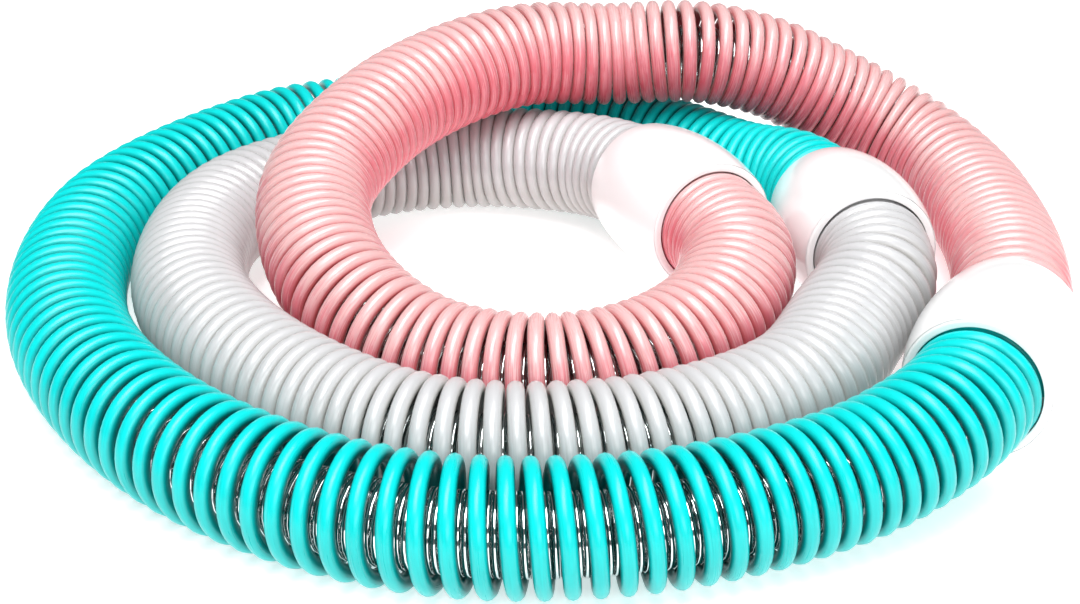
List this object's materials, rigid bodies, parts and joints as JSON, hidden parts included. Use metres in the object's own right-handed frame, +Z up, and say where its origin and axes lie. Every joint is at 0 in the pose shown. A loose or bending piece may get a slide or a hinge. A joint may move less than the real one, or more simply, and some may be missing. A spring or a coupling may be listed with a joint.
{
  "type": "spring exercise hoop",
  "caption": "Soft exercise hoop of flexible double coils joined by white barrel connectors, stored wound up on a surface.",
  "frame": {"origin": "on the surface that the wound hoop lies on, below the middle of its bounding box", "axes": "+Z up, -Y towards the side where all three turns lie flat, +X towards the connectors"},
  "size_m": [0.4383, 0.408, 0.0989],
  "materials": {
    "turquoise_plastic": "glossy",
    "grey_plastic": "glossy, slightly translucent",
    "pink_plastic": "glossy",
    "white_barrel": "glossy",
    "white_moulding": "satin",
    "spring_steel": "bright",
    "zinc_steel": "satin",
    "black_rubber": "matt"
  },
  "bodies": {
    "hoop": {"front_socket": "white_moulding", "front_plug": "white_moulding", "front_retaining_ring": "zinc_steel", "front_friction_washer": "black_rubber", "front_socket_screw": "zinc_steel", "front_plug_screw": "zinc_steel", "right_socket": "white_moulding", "right_plug": "white_moulding", "right_retaining_ring": "zinc_steel", "right_friction_washer": "black_rubber", "right_socket_screw": "zinc_steel", "right_plug_screw": "zinc_steel", "inner_socket": "white_moulding", "inner_plug": "white_moulding", "inner_retaining_ring": "zinc_steel", "inner_friction_washer": "black_rubber", "inner_socket_screw": "zinc_steel", "inner_plug_screw": "zinc_steel", "turquoise_coil": "turquoise_plastic", "turquoise_spring": "spring_steel", "grey_coil": "grey_plastic", "grey_spring": "spring_steel", "pink_coil": "pink_plastic", "pink_spring": "spring_steel"},
    "front_barrel": {"front_lock_barrel": "white_barrel"},
    "right_barrel": {"right_lock_barrel": "white_barrel"},
    "inner_barrel": {"inner_lock_barrel": "white_barrel"}
  },
  "joints": [
    {"name": "front_barrel_turn", "type": "hinge", "parent": "hoop", "child": "front_barrel", "pos_m": [0.167, -0.08, 0.032], "axis": [-0.4224, -0.905, 0.0503], "range_deg": [0, 90]},
    {"name": "right_barrel_turn", "type": "hinge", "parent": "hoop", "child": "right_barrel", "pos_m": [0.1295, 0.026, 0.0336], "axis": [0.1197, -0.9878, 0.0998], "range_deg": [0, 90]},
    {"name": "inner_barrel_turn", "type": "hinge", "parent": "hoop", "child": "inner_barrel", "pos_m": [0.058, 0.0475, 0.036], "axis": [0.3996, -0.914, 0.0699], "range_deg": [0, 90]}
  ]
}
